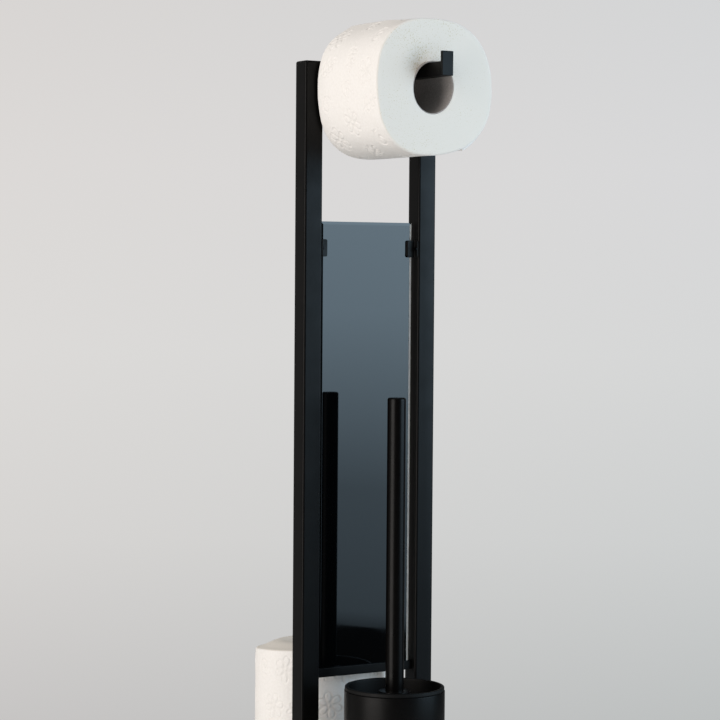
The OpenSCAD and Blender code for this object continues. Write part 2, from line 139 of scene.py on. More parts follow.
# Nearly all values of a noise texture lie between these two.
NOISE_LOW = 0.3
NOISE_HIGH = 0.7


def linear(hex_colour):
    """An sRGB hex colour as linear light, opaque."""
    parts = [int(hex_colour[i : i + 2], 16) / 255 for i in (1, 3, 5)]
    return [p / 12.92 if p <= 0.04045 else ((p + 0.055) / 1.055) ** 2.4 for p in parts] + [1.0]


def node(tree, kind, sockets=None, **settings):
    """Adds a node, sets its properties, and sets or links its input sockets."""
    made = tree.nodes.new("ShaderNode" + kind)
    for key, value in settings.items():
        setattr(made, key, value)
    for key, value in (sockets or {}).items():
        if isinstance(value, bpy.types.NodeSocket):
            tree.links.new(value, made.inputs[key])
        else:
            made.inputs[key].default_value = value
    return made


def surface_of(name, colour, roughness, **sockets):
    """A new material with its constants set: (material, tree, shader, object coordinates)."""
    made = bpy.data.materials.new(name)
    made.use_nodes = True
    tree = made.node_tree
    shader = tree.nodes["Principled BSDF"]
    shader.inputs["Base Color"].default_value = linear(colour)
    shader.inputs["Roughness"].default_value = roughness
    for key, value in sockets.items():
        shader.inputs[key.replace("_", " ")].default_value = value
    return made, tree, shader, node(tree, "TexCoord").outputs["Object"]


def fine(size_mm):
    """Scale of a texture whose lumps are about size_mm across, on coordinates in metres."""
    return 1 / (size_mm * MM)


def grain(tree, place, size_mm, detail=2.0):
    """Noise with lumps of a size given in millimetres."""
    sockets = {"Vector": place, "Scale": fine(size_mm), "Detail": detail}
    return node(tree, "TexNoise", sockets).outputs["Fac"]


def scaled(tree, value, low, high, out_low=0.0, out_high=1.0, **settings):
    """A value's way from low to high, spread over another range."""
    sockets = {0: value, 1: low, 2: high, 3: out_low, 4: out_high}
    return node(tree, "MapRange", sockets, **settings).outputs["Result"]


def maths(tree, operation, first, second):
    return node(tree, "Math", {0: first, 1: second}, operation=operation).outputs[0]


def attribute(tree, name):
    """A value that the mesh carries at its vertices."""
    return node(tree, "Attribute", attribute_name=name).outputs["Fac"]


def ramp(tree, value, stops):
    """A colour that changes with a value, through stops of position and linear colour."""
    made = node(tree, "ValToRGB", {0: value})
    elements = made.color_ramp.elements
    while len(elements) < len(stops):
        elements.new(0.5)
    for element, (position, colour) in zip(elements, stops):
        element.position = position
        element.color = colour
    return made.outputs["Color"]


def varied(tree, shader, socket, place, size_mm, low, high, detail=3.0):
    """Lets a socket drift between two values, in patches of a size given in millimetres."""
    patches = grain(tree, place, size_mm, detail)
    spread = scaled(tree, patches, NOISE_LOW, NOISE_HIGH, low, high)
    tree.links.new(spread, shader.inputs[socket])


def tinted(tree, shader, place, size_mm, dark, light, detail=3.0):
    """Lets the colour drift between two hex colours, in patches of a size in millimetres."""
    patches = grain(tree, place, size_mm, detail)
    tint = ramp(tree, patches, [(NOISE_LOW, linear(dark)), (NOISE_HIGH, linear(light))])
    tree.links.new(tint, shader.inputs["Base Color"])
    return tint


def bumped(tree, shader, heights):
    """Stacks bumps: pairs of a height socket and its relief in millimetres."""
    normal = None
    for height, relief_mm in heights:
        sockets = {"Height": height, "Distance": relief_mm * MM, "Strength": 1.0}
        if normal:
            sockets["Normal"] = normal
        normal = node(tree, "Bump", sockets).outputs["Normal"]
    tree.links.new(normal, shader.inputs["Normal"])


# Materials


def powder_coat():
    """Polyester powder, sprayed and baked: it flows into a fine orange peel, so the satin black
    has soft broad highlights that break up a little, and handling leaves its gloss uneven."""
    made, tree, shader, place = surface_of(
        "satin black powder coat", "#070606", 0.38, Specular_IOR_Level=0.155
    )
    tinted(tree, shader, place, 25, "#050505", "#090808")
    varied(tree, shader, "Roughness", place, 18, 0.34, 0.42)
    bumped(tree, shader, [(grain(tree, place, 0.9), 0.012), (grain(tree, place, 3.0), 0.01)])
    return made


def handle_coat():
    """Black e-coat under a thin satin lacquer on drawn tube: smoother than the powder, with a
    faint lengthwise draw that stretches the highlight."""
    made, tree, shader, place = surface_of(
        "satin black lacquered tube", "#070606", 0.3, Specular_IOR_Level=0.17
    )
    varied(tree, shader, "Roughness", place, 12, 0.27, 0.33)
    drawn = node(tree, "Mapping", {"Vector": place, "Scale": (1.0, 1.0, 0.04)}).outputs["Vector"]
    bumped(tree, shader, [(grain(tree, drawn, 0.6), 0.006)])
    return made


def black_glass():
    """Float glass, enamelled black on its back: the front is a flat dark mirror with a trace of
    haze, and no colour of its own."""
    made, tree, shader, place = surface_of(
        "black enamelled float glass", "#030405", 0.02, IOR=1.52
    )
    sockets = {"Vector": place, "Rotation": (0, 0.7, 0), "Scale": (1, 1, 0.25)}
    haze = node(tree, "Mapping", sockets).outputs["Vector"]
    varied(tree, shader, "Roughness", haze, 30, 0.012, 0.045, detail=6.0)
    return made


def edge_painted_with_light():
    """The pane's bevel and side edge, painted pale and bright for the light that enters through the
    side and comes out of the bevel: a pale bright line."""
    made, tree, shader, place = surface_of("pane edge painted with light", "#d3d6d6", 0.25, IOR=1.52)
    tinted(tree, shader, place, 6, "#c9cdce", "#dfe1e0")
    varied(tree, shader, "Roughness", place, 2, 0.18, 0.4)
    bumped(tree, shader, [(grain(tree, place, 0.5), 0.01)])
    return made


def moulded_plastic(name, colour, roughness, texture_mm=0.6):
    """Injection-moulded polypropylene: the spark-eroded mould leaves an even matt grain."""
    made, tree, shader, place = surface_of(name, colour, roughness, Specular_IOR_Level=0.25)
    varied(tree, shader, "Roughness", place, 8, roughness - 0.05, roughness + 0.05)
    bumped(tree, shader, [(grain(tree, place, texture_mm), 0.01)])
    return made


def mat_rubber():
    """Foamed EVA rubber, cut from sheet: closed cells give it a fine pitted matt skin."""
    made, tree, shader, place = surface_of("foamed rubber", "#2b2b2b", 0.9)
    cells = node(tree, "TexVoronoi", {"Vector": place, "Scale": fine(0.9)}).outputs["Distance"]
    tinted(tree, shader, place, 10, "#262626", "#303030")
    bumped(tree, shader, [(cells, 0.15)])
    return made


def pad_rubber():
    """Moulded silicone: soft and matt, a little shinier where it was pressed."""
    made, tree, shader, place = surface_of("soft silicone pad", "#232323", 0.7)
    varied(tree, shader, "Roughness", place, 4, 0.62, 0.78)
    return made


def zinc_steel():
    """Cold-formed steel, zinc plated: grey metal with a fine crystalline mottle."""
    made, tree, shader, place = surface_of("zinc-plated steel", "#8f9296", 0.38, Metallic=1.0)
    tinted(tree, shader, place, 1.5, "#84878b", "#9c9fa3")
    varied(tree, shader, "Roughness", place, 1.0, 0.3, 0.45)
    bumped(tree, shader, [(grain(tree, place, 0.4), 0.004)])
    return made


def black_oxide():
    """Hardened steel in a black oxide bath: the metal turns almost black, with an oily sheen."""
    made, tree, shader, place = surface_of("black oxide steel", "#1b1c1e", 0.36, Metallic=1.0)
    tinted(tree, shader, place, 1.5, "#17181a", "#212224")
    varied(tree, shader, "Roughness", place, 1.0, 0.3, 0.42)
    return made


def bristle_nylon():
    """Extruded nylon strands, dyed black, with the slight gloss of drawn plastic."""
    made, tree, shader, place = surface_of("black nylon bristle", "#1a1a1b", 0.45)
    tinted(tree, shader, place, 2.0, "#161617", "#212123")
    return made


def embossed_tissue():
    """Creped tissue, embossed between steel rolls: soft matt white, full of crepe and fibres. The
    pressed lines lie deeper in the mesh, and a painted shade greys them, for the shade in their creases."""
    made, tree, shader, place = surface_of(
        "embossed tissue", "#f4f2f0", 0.95, Specular_IOR_Level=0.15
    )
    tint = tinted(tree, shader, place, 2.2, "#efedea", "#f5f3f1", detail=6.0)
    # Painted shade: the paper of the pressed lines is mixed towards grey, as if shaded in the creases.
    share = scaled(tree, attribute(tree, "pressed"), 0.0, 1.0, 0.0, 0.14)
    grey = node(tree, "Mix", {0: share, 6: tint, 7: linear("#d6d2cd")}, data_type="RGBA")
    tree.links.new(grey.outputs[2], shader.inputs["Base Color"])
    crepe, fibres = grain(tree, place, 0.7, 4.0), grain(tree, place, 3.5, 3.0)
    bumped(tree, shader, [(crepe, 0.03), (fibres, 0.06)])
    return made


def tissue_ends():
    """The cut ends of the windings: a felt of ply edges, with small dents painted with a little yellow shade.
    They crowd together here and there, in the dent above the core as its painted shade, and in a few spots."""
    made, tree, shader, place = surface_of(
        "cut ends of tissue", "#efebe4", 0.95, Specular_IOR_Level=0.15
    )
    pits = grain(tree, place, 1.2, 4.0)
    crowd = scaled(tree, grain(tree, place, 38), 0.35, 0.65, -0.05, 0.05)
    # Painted shade: the pits are darkened in the dent above the core, and in a few spots.
    worn = maths(tree, "MULTIPLY", attribute(tree, "worn"), -0.07)
    level = maths(tree, "ADD", pits, maths(tree, "ADD", crowd, worn))
    tint = ramp(tree, level, [(0.245, linear("#d4ccb4")), (0.37, linear("#efebe4"))])
    tree.links.new(tint, shader.inputs["Base Color"])
    bumped(tree, shader, [(pits, 0.08), (grain(tree, place, 0.6, 3.0), 0.03)])
    return made


def core_card():
    """Recycled grey-brown card, wound on a mandrel: matt, flecked with fibres."""
    made, tree, shader, place = surface_of(
        "wound grey card", "#a9a5a2", 0.9, Specular_IOR_Level=0.2
    )
    tinted(tree, shader, place, 1.2, "#9a9592", "#b6b1ae", detail=5.0)
    bumped(tree, shader, [(grain(tree, place, 0.8, 4.0), 0.05)])
    return made


GLASS = black_glass()
PANE_EDGE_LIGHT = edge_painted_with_light()
SHEET = embossed_tissue()
ENDS = tissue_ends()

SLOT_FINISH = {
    "powder_coat": powder_coat(),
    "handle_coat": handle_coat(),
    "black_glass": GLASS,
    "clip_plastic": moulded_plastic("matt black clip plastic", "#090a0b", 0.48),
    "pad_rubber": pad_rubber(),
    "mat_rubber": mat_rubber(),
    "screw_steel": zinc_steel(),
    "black_screw": black_oxide(),
    "liner_plastic": moulded_plastic("matt black liner plastic", "#050505", 0.58, 0.8),
    "brush_plastic": moulded_plastic("matt black brush plastic", "#080808", 0.48, 0.5),
    "bristle_nylon": bristle_nylon(),
    "tissue_paper": SHEET,
    "core_card": core_card(),
}

slot_of = {part["node"]: part["material_slot"] for part in frame["record"]["subparts"]}
body_of = {
    name: body for body, names in frame["record"]["behaviour"]["bodies"].items() for name in names
}

for name, cad_node in frame["nodes"].items():
    cad_node.data.materials.clear()
    cad_node.data.materials.append(SLOT_FINISH[slot_of[name]])


# Mesh helpers


def as_mesh(name, bm):
    """A mesh made of a bmesh, which is freed."""
    mesh = bpy.data.meshes.new(name)
    bm.to_mesh(mesh)
    bm.free()
    return mesh


def piece(name, bm, stands_for, materials=None, smooth=SMOOTH_ANGLE, crisp=False):
    """Turns a bmesh into a shown piece that rides and is finished as the CAD node it stands for. A
    crisp piece keeps its flat faces evenly lit right up to their rounded edges."""
    mesh = as_mesh(name, bm)
    made = shown(name, mesh)
    for finish in materials or [SLOT_FINISH[slot_of[stands_for]]]:
        mesh.materials.append(finish)
    for polygon in mesh.polygons:
        polygon.use_smooth = True
    mesh.set_sharp_from_angle(angle=smooth)
    if crisp:
        made.modifiers.new("even faces", "WEIGHTED_NORMAL").keep_sharp = True
    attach(made, body_of[stands_for])
    return made


def block(low, high):
    """A box between two corners."""
    bm = bmesh.new()
    bmesh.ops.create_cube(bm, size=1)
    low, high = Vector(low), Vector(high)
    bmesh.ops.scale(bm, vec=high - low, verts=bm.verts[:])
    bmesh.ops.translate(bm, vec=(low + high) / 2, verts=bm.verts[:])
    return bm


def round_edges(bm, edges, offset, segments, clamp=True):
    """Rounds edges in a number of segments. One segment makes a chamfer."""
    bmesh.ops.bevel(
        bm,
        geom=edges,
        offset=offset,
        affect="EDGES",
        segments=segments,
        profile=0.5,
        material=-1,
        clamp_overlap=clamp,
    )


def along(bm, axis):
    """Edges that run along one axis: 0, 1 or 2."""
    found = []
    for edge in bm.edges:
        run = edge.verts[1].co - edge.verts[0].co
        if abs(run[axis]) > PARALLEL * run.length:
            found.append(edge)
    return found


def arc(centre, radius, start, end, steps):
    """Points of an arc in the (radius, height) plane, angles in degrees."""
    turns = [math.radians(start + (end - start) * i / steps) for i in range(steps + 1)]
    return [(centre[0] + radius * math.cos(t), centre[1] + radius * math.sin(t)) for t in turns]


def stretch(start, end, steps):
    """Points from start up to, but without, end."""
    return [tuple(a + (b - a) * i / steps for a, b in zip(start, end)) for i in range(steps)]


SECTORS = 8


def lathe(profile, steps, closed=False):
    """Spins (radius, height) points round the Z axis, one sector of eight, and joins eight copies
    of it. Points on the axis become poles."""
    sector = bmesh.new()
    ring = [sector.verts.new((r, 0, z)) for r, z in profile]
    pairs = list(zip(ring, ring[1:])) + ([(ring[-1], ring[0])] if closed else [])
    edges = [sector.edges.new(pair) for pair in pairs]
    turn = math.tau / SECTORS
    bmesh.ops.spin(
        sector,
        geom=ring + edges,
        cent=(0, 0, 0),
        axis=(0, 0, 1),
        angle=turn,
        steps=steps // SECTORS,
        use_merge=False,
    )
    mesh = as_mesh("sector", sector)
    bm = bmesh.new()
    for _ in range(SECTORS):
        bm.from_mesh(mesh)
        mesh.transform(Matrix.Rotation(turn, 4, "Z"))
    bpy.data.meshes.remove(mesh)
    bmesh.ops.remove_doubles(bm, verts=bm.verts[:], dist=TINY)
    bmesh.ops.recalc_face_normals(bm, faces=bm.faces[:])
    return bm


def moved(bm, place):
    bmesh.ops.translate(bm, vec=place, verts=bm.verts[:])
    return bm


def polar(co):
    """Angle, radius and height of a point, about the Z axis."""
    return math.atan2(co.y, co.x) % math.tau, math.hypot(co.x, co.y), co.z


def point_at(angle, r, z):
    """The point with an angle, radius and height about the Z axis."""
    return r * math.cos(angle), r * math.sin(angle), z


# Base

BASE_CORNER = 8 * MM
BASE_EDGE = 1 * MM
MAT_CORNER = 6 * MM
MAT_EDGE = 0.3 * MM


def plate(span, corner, edge):
    """A flat plate with round corners and a rounded upper edge."""
    bm = block(span.low, span.high)
    round_edges(bm, along(bm, 2), corner, 12)
    top = [e for e in bm.edges if all(abs(v.co.z - span.high.z) < TINY for v in e.verts)]
    round_edges(bm, top, edge, 4)
    return bm


base_shape = plate(base, BASE_CORNER, BASE_EDGE)
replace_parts(piece("base_plate_coated", base_shape, "base_plate", crisp=True), "base_plate")
mat_shape = plate(mat, MAT_CORNER, MAT_EDGE)
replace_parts(piece("anti_slip_mat_foam", mat_shape, "anti_slip_mat"), "anti_slip_mat")


# Hoop: two posts and a top bar, mitred at the corners

TUBE_CORNER = 2 * MM
SEAM = 0.3 * MM


def mitred(low, high, cuts):
    """A bar with rounded edges, cut off by mitre planes of (point, outward normal), with a fine
    chamfer along each cut that shows as the seam."""
    bm = block(low, high)
    round_edges(bm, bm.edges[:], TUBE_CORNER, 5)
    for point, outward in cuts:
        geometry = bm.verts[:] + bm.edges[:] + bm.faces[:]
        bmesh.ops.bisect_plane(
            bm, geom=geometry, plane_co=point, plane_no=outward, clear_outer=True
        )
        rim = [e for e in bm.edges if e.is_boundary]
        bmesh.ops.edgeloop_fill(bm, edges=rim)
        bmesh.ops.recalc_face_normals(bm, faces=bm.faces[:])
        round_edges(bm, rim, SEAM, 1, clamp=False)
    return bm


def hoop():
    """The posts, cut off square at the foot and mitred at the top, and the bar between them."""
    low, high = post.low.copy(), post.high.copy()
    foot = Vector((0, 0, low.z))
    low.z -= TUBE_CORNER
    high.z = HOOP_TOP
    corner = Vector((-HALF_HOOP, 0, HOOP_TOP))
    cuts = [(corner, Vector((1, 0, 1)).normalized()), (foot, Vector((0, 0, -1)))]
    bm = mitred(low, high, cuts)
    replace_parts(piece("post_left_tube", bm, "post_left", crisp=True), "post_left")

    bm = mitred(low, high, cuts)
    bmesh.ops.scale(bm, vec=(-1, 1, 1), verts=bm.verts[:])
    bmesh.ops.recalc_face_normals(bm, faces=bm.faces[:])
    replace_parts(piece("post_right_tube", bm, "post_right", crisp=True), "post_right")

    ends = [
        (Vector((side * HALF_HOOP, 0, HOOP_TOP)), Vector((side, 0, -1)).normalized())
        for side in (-1, 1)
    ]
    bm = mitred((-HALF_HOOP, bar.low.y, bar.low.z), (HALF_HOOP, bar.high.y, HOOP_TOP), ends)
    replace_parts(piece("top_bar_tube", bm, "top_bar", crisp=True), "top_bar")


hoop()


# Crossbar, pane and clips

CROSSBAR_EDGE = 0.5 * MM
CLIP_EDGE = 0.3 * MM
FLAT_ANGLE = math.radians(1)
SHARP_ANGLE = math.radians(25)

PANE_BEVEL = 2.3 * MM
PANE_BEVEL_DEPTH = 0.5 * MM
PANE_ARRIS = 0.4 * MM
PANE_CORNER = 0.8 * MM
PANE_SMOOTH = math.radians(3)

# A face of the pane whose normal leans further to the right than this is painted pale, for the light that comes
# through the right edge.
BEVEL_TILT = 0.12


def softened(node_name, offset, segments=2):
    """A copy of a CAD node with its flat faces joined and its sharp edges rounded."""
    bm = bmesh.new()
    bm.from_mesh(frame["nodes"][node_name].data)
    bmesh.ops.remove_doubles(bm, verts=bm.verts[:], dist=TINY)
    bmesh.ops.dissolve_limit(bm, angle_limit=FLAT_ANGLE, verts=bm.verts[:], edges=bm.edges[:])
    sharp = [e for e in bm.edges if e.is_manifold and e.calc_face_angle(0) > SHARP_ANGLE]
    round_edges(bm, sharp, offset, segments, clamp=False)
    return bm


bar_shape = softened("lower_crossbar", CROSSBAR_EDGE, 3)
made = piece("lower_crossbar_coated", bar_shape, "lower_crossbar", crisp=True)
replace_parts(made, "lower_crossbar")


def front_face(bm):
    return next(f for f in bm.faces if f.normal.y < -PARALLEL)


def glass():
    """The pane: its front is inset and brought forward, which leaves the bevel, and the bevel runs
    into the front over a soft arris. The right edge and its bevel are painted pale for the light that comes
    through the glass there."""
    bm = block((pane.low.x, pane.low.y + PANE_BEVEL_DEPTH, pane.low.z), pane.high)
    front = front_face(bm)
    bmesh.ops.inset_region(bm, faces=[front], thickness=PANE_BEVEL, use_even_offset=True)
    bmesh.ops.translate(bm, vec=(0, -PANE_BEVEL_DEPTH, 0), verts=front.verts[:])
    round_edges(bm, along(bm, 1), PANE_CORNER, 3)
    bm.normal_update()
    round_edges(bm, front_face(bm).edges[:], PANE_ARRIS, 3, clamp=False)
    bm.normal_update()
    # Painted light: only the right-facing faces get the pale edge colour; the others stay black glass.
    for face in bm.faces:
        sideways = face.normal.x > BEVEL_TILT and face.normal.x > abs(face.normal.z)
        face.material_index = 1 if sideways else 0
    made = piece("glass_panel_bevelled", bm, "glass_panel", [GLASS, PANE_EDGE_LIGHT], PANE_SMOOTH)
    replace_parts(made, "glass_panel")


glass()

for side in ("left", "right"):
    clip_name = f"glass_clip_{side}"
    made = piece(clip_name + "_moulded", softened(clip_name, CLIP_EDGE), clip_name, crisp=True)
    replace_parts(made, clip_name)


# Roll arm

ARM_EDGE = 0.5 * MM


def arm_pieces():
    """The arm with its four long edges rounded, and the stop at its tip."""
    bm = block(arm.low, arm.high)
    round_edges(bm, along(bm, 1), ARM_EDGE, 3)
    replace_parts(piece("roll_arm_bar", bm, "roll_arm", crisp=True), "roll_arm")
    bm = block(stop.low, stop.high)
    round_edges(bm, bm.edges[:], ARM_EDGE, 3)
    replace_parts(piece("arm_stop_plate", bm, "arm_stop", crisp=True), "arm_stop")


arm_pieces()


# Brush holder

ROUND_STEPS = 144
CAN_R = can.size.x / 2
CAN_AT = Vector((can.high.x - CAN_R, can.mid.y, 0))
CAN_WALL = 1.2 * MM
CAN_FLOOR = 2 * MM
CAN_FOOT = 1.5 * MM
CAN_HUB = 8 * MM
LINER_WALL = 1.6 * MM
LINER_FLOOR = 2 * MM
LINER_DRAFT = 1.5 * MM
LINER_PLAY = 0.8 * MM
LINER_FOOT = 3 * MM
LINER_HUB = 6 * MM
LIP_GAP = 0.3 * MM
LIP_CHAMFER = 0.3 * MM
LIP_EDGE = 0.8 * MM


def container():
    """Deep-drawn steel cup: rounded foot, straight wall, rim turned round."""
    r, low, high = CAN_R, can.low.z, can.high.z
    foot, rim = CAN_FOOT, CAN_WALL / 2
    inner = r - CAN_WALL
    floor = low + CAN_FLOOR
    profile = [(0, low)] + stretch((CAN_HUB, low), (r - foot, low), 4)
    profile += arc((r - foot, low + foot), foot, -90, 0, 6)
    profile += stretch((r, low + 4 * MM), (r, high - rim), 10)
    profile += arc((r - rim, high - rim), rim, 0, 180, 8)
    profile += stretch((inner, high - 3 * MM), (inner, floor + foot), 6)
    profile += arc((inner - foot, floor + foot), foot, 0, -90, 6)
    profile += [(CAN_HUB, floor), (0, floor)]
    bm = moved(lathe(profile, ROUND_STEPS), CAN_AT)
    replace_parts(piece("brush_container_drawn", bm, "brush_container"), "brush_container")


def liner_cup():
    """Moulded cup: drafted wall, and a lip above the container's rim, over a thin shadow gap."""
    low, top = liner.low.z, liner.high.z
    lip_low = can.high.z + LIP_GAP
    lip_r = liner.high.x - CAN_AT.x
    wall_r = CAN_R - CAN_WALL - LINER_PLAY
    foot_r = wall_r - LINER_DRAFT
    inner = wall_r - LINER_WALL
    foot_in = foot_r - LINER_WALL
    floor = low + LINER_FLOOR
    foot, edge = LINER_FOOT, LIP_EDGE
    profile = [(0, low)] + stretch((LINER_HUB, low), (foot_r - foot, low), 3)
    profile += arc((foot_r - foot, low + foot), foot, -90, 0, 6)
    profile += stretch((foot_r, low + 2 * foot), (wall_r, lip_low), 12) + [(wall_r, lip_low)]
    profile += [(lip_r - LIP_CHAMFER, lip_low), (lip_r, lip_low + LIP_CHAMFER)]
    profile += arc((lip_r - edge, top - edge), edge, 0, 90, 6)
    profile += arc((inner + edge, top - edge), edge, 90, 180, 6)
    profile += stretch((inner, lip_low), (foot_in, floor + foot), 12)
    profile += arc((foot_in - foot, floor + foot), foot, 0, -90, 6)
    profile += [(LINER_HUB, floor), (0, floor)]
    bm = moved(lathe(profile, ROUND_STEPS), CAN_AT)
    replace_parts(piece("container_liner_moulded", bm, "container_liner"), "container_liner")


container()
liner_cup()


# Brush

COLLAR_BORE = 5.05 * MM
COLLAR_EDGE = 0.5 * MM


def collar_disc():
    """Turned disc with a small rounding above and below."""
    r = collar.size.x / 2
    low, high = collar.low.z, collar.high.z
    bore, edge = COLLAR_BORE, COLLAR_EDGE
    profile = [(bore, low)] + stretch((bore + 1 * MM, low), (r - edge, low), 3)
    profile += arc((r - edge, low + edge), edge, -90, 0, 4)
    profile += arc((r - edge, high - edge), edge, 0, 90, 4)
    profile += [(bore + 1 * MM, high), (bore, high)]
    bm = moved(lathe(profile, 96, closed=True), CAN_AT)
    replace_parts(piece("handle_collar_turned", bm, "handle_collar"), "handle_collar")


HEAD_SLEEVE = 1.5 * MM
SLEEVE_EDGE = 0.3 * MM
SLEEVE_FOOT = 1 * MM
TUFT_ROWS = 9
TUFTS_ROUND = 18
TUFT_KINDS = 4
TUFT_ROOTED = 1 * MM
TUFT_MARGIN = 3 * MM
TUFT_ROOT = 0.9 * MM
TUFT_SPLAY = 2.6
TUFT_STRAY_MM = 0.4
SLANTING_TUFT = 21 * MM
SLANTING_ROOTED = 2.5 * MM
HANGING_TUFT = 16.5 * MM
HANGING_TUFTS = 8
HANGING_R = 4.3 * MM
STRANDS = 30
STRAND_R = 0.13 * MM
STRAND_TAPER = 0.8


def tuft_mesh(length, seed):
    """A bunch of fine strands that grow from one hole and splay, along +X from the origin."""
    draw = random.Random(seed)
    bm = bmesh.new()
    for _ in range(STRANDS):
        turn = draw.uniform(0, math.tau)
        out = math.sqrt(draw.random()) * TUFT_ROOT
        root = Vector((0, out * math.cos(turn), out * math.sin(turn)))
        reach = length * draw.uniform(0.97, 1.0)
        tip = Vector((reach, root.y * TUFT_SPLAY, root.z * TUFT_SPLAY))
        tip.y += draw.uniform(-TUFT_STRAY_MM, TUFT_STRAY_MM) * MM
        tip.z += draw.uniform(-TUFT_STRAY_MM, TUFT_STRAY_MM) * MM
        run = tip - root
        facing = run.to_track_quat("Z", "Y").to_matrix().to_4x4()
        bmesh.ops.create_cone(
            bm,
            cap_ends=True,
            segments=3,
            radius1=STRAND_R,
            radius2=STRAND_R * STRAND_TAPER,
            depth=run.length,
            matrix=Matrix.Translation((root + tip) / 2) @ facing,
        )
    return as_mesh("tuft", bm)


def brush_head():
    """Tufts in staggered rows round a sleeve, a slanting row round its foot and a bunch below."""
    core = head.size.x / 2
    root = core + HEAD_SLEEVE
    low, high = head.low.z, head.high.z
    foot, edge = SLEEVE_FOOT, SLEEVE_EDGE
    profile = [(0, low - HEAD_SLEEVE)]
    profile += arc((root - foot, low - HEAD_SLEEVE + foot), foot, -90, 0, 4)
    profile += arc((root - edge, high - edge), edge, 0, 90, 3)
    profile += [(core, high), (0, high - edge)]
    sleeve = moved(lathe(profile, 64), CAN_AT)
    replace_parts(piece("brush_head_sleeve", sleeve, "brush_head"), "brush_head")

    def kinds_of(length, first_seed):
        return [tuft_mesh(length, first_seed + kind) for kind in range(TUFT_KINDS)]

    bm = bmesh.new()
    straight = kinds_of(bristles.size.x / 2 - root + TUFT_ROOTED, 0)
    slanting = kinds_of(SLANTING_TUFT, TUFT_KINDS)
    hanging = kinds_of(HANGING_TUFT, 2 * TUFT_KINDS)
    pitch = (high - low - 2 * TUFT_MARGIN) / (TUFT_ROWS - 1)

    def plant(mesh, turn, radius, height, tilt):
        place = Matrix.Translation(CAN_AT + Vector((0, 0, height))) @ Matrix.Rotation(turn, 4, "Z")
        place = place @ Matrix.Translation((radius, 0, 0)) @ Matrix.Rotation(tilt, 4, "Y")
        copy = mesh.copy()
        copy.transform(place)
        bm.from_mesh(copy)
        bpy.data.meshes.remove(copy)

    for row in range(TUFT_ROWS):
        height = low + TUFT_MARGIN + row * pitch
        for i in range(TUFTS_ROUND):
            turn = (i + (row % 2) / 2) * math.tau / TUFTS_ROUND
            plant(straight[(row + i) % TUFT_KINDS], turn, root - TUFT_ROOTED, height, 0)
    for i in range(TUFTS_ROUND):
        turn = (i + 0.5) * math.tau / TUFTS_ROUND
        plant(slanting[i % TUFT_KINDS], turn, root - SLANTING_ROOTED, low, math.radians(45))
    for i in range(HANGING_TUFTS):
        turn = i * math.tau / HANGING_TUFTS
        plant(hanging[i % TUFT_KINDS], turn, HANGING_R, low - TUFT_ROOTED, math.radians(90))
    for mesh in straight + slanting + hanging:
        bpy.data.meshes.remove(mesh)
    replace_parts(piece("brush_bristles_nylon", bm, "brush_bristles"), "brush_bristles")


collar_disc()
brush_head()


# Embossed pattern of the paper, drawn in millimetres

PATTERN_STEP = 0.4
PATTERN_ROWS = 3
PATTERN_PITCH = 30 * MM
PATTERN_MARGIN = 2 * MM


def turned(x, y, angle):
    """A point of the plane, turned about the origin."""
    cos, sin = math.cos(angle), math.sin(angle)
    return x * cos - y * sin, x * sin + y * cos


def curve_points(function, start, end, length_mm):
    """Points along a parametric curve, close enough together for an embossed line."""
    count = max(8, int(length_mm / PATTERN_STEP))
    return [function(start + (end - start) * i / count) for i in range(count + 1)]


def daisy():
    """Six round petals about a ring, drawn as outlines."""
    petals, ring = 6, 1.9
    middle, half_length, half_width = 7.1, 4.4, 3.0
    points = curve_points(lambda t: (ring * math.cos(t), ring * math.sin(t)), 0, math.tau, 12)
    for k in range(petals):

        def petal(t, angle=k * math.tau / petals):
            out = middle + half_length * math.cos(t)
            wide = half_width * math.sin(t) * (1 + 0.25 * math.cos(t))
            return turned(out, wide, angle)

        points += curve_points(petal, 0, math.tau, 22)
    return points


def sprig():
    """A curved stem with four leaves along it and one at its tip, drawn as outlines."""

    def stem(t):
        return t, 1.6 * math.sin(t / 5.5)

    points = curve_points(stem, -11, 9, 21)
    for foot, side in [(-6, 1), (-4, -1), (2, 1), (4, -1), (9, 0)]:
        base_x, base_y = stem(foot)
        angle = math.radians(48 * side)
        long, wide = (8.5, 2.4) if side else (6.5, 2.0)
        for edge in (-1, 1):
            outline = curve_points(
                lambda t: turned(long * t, edge * wide * math.sin(math.pi * t), angle),
                0,
                1,
                long * 1.1,
            )
            points += [(base_x + x, base_y + y) for x, y in outline]
    return points


def curl():
    """A tendril that winds in on itself, with a bud of dots."""
    opening, dots, bud = 0.95, 5, 10.5
    points = curve_points(
        lambda t: (t * opening * math.cos(t), t * opening * math.sin(t)), 0.8, 9.2, 38
    )
    for k in range(dots):
        angle = k * math.tau / dots + 1
        points.append((bud * math.cos(angle), bud * math.sin(angle)))
    return points


MOTIFS = [daisy(), sprig(), curl()]


def emboss_tree(around, width, seed):
    """Nearest-point tree of the embossed lines on a sheet, laid out in staggered rows (metres)."""
    draw = random.Random(seed)
    cols = round(around / PATTERN_PITCH)
    cell_u, cell_v = around / cols, width / PATTERN_ROWS
    placed = []
    for row in range(PATTERN_ROWS):
        for col in range(cols):
            motif = MOTIFS[(col + 2 * row + col // 4) % len(MOTIFS)]
            angle = draw.uniform(0, math.tau)
            u = (col + 0.5 * (row % 2) + draw.uniform(0.4, 0.6)) * cell_u
            v = (row + draw.uniform(0.42, 0.58)) * cell_v
            for point in motif:
                x, y = turned(*point, angle)
                pv = v + y * MM
                if PATTERN_MARGIN < pv < width - PATTERN_MARGIN:
                    placed.append(((u + x * MM) % around, pv))
    tree = kdtree.KDTree(3 * len(placed))
    for i, (u, v) in enumerate(placed):
        for shift in (-1, 0, 1):
            tree.insert((u + shift * around, v, 0), 3 * i + shift + 1)
    tree.balance()
    return tree


# Paper rolls

ROLL_STEPS = 560
ROLL_W = roll.size.y
ROLL_RIM = 2 * MM
ROLL_SMOOTH = math.radians(60)
HOLE_R = 22.5 * MM

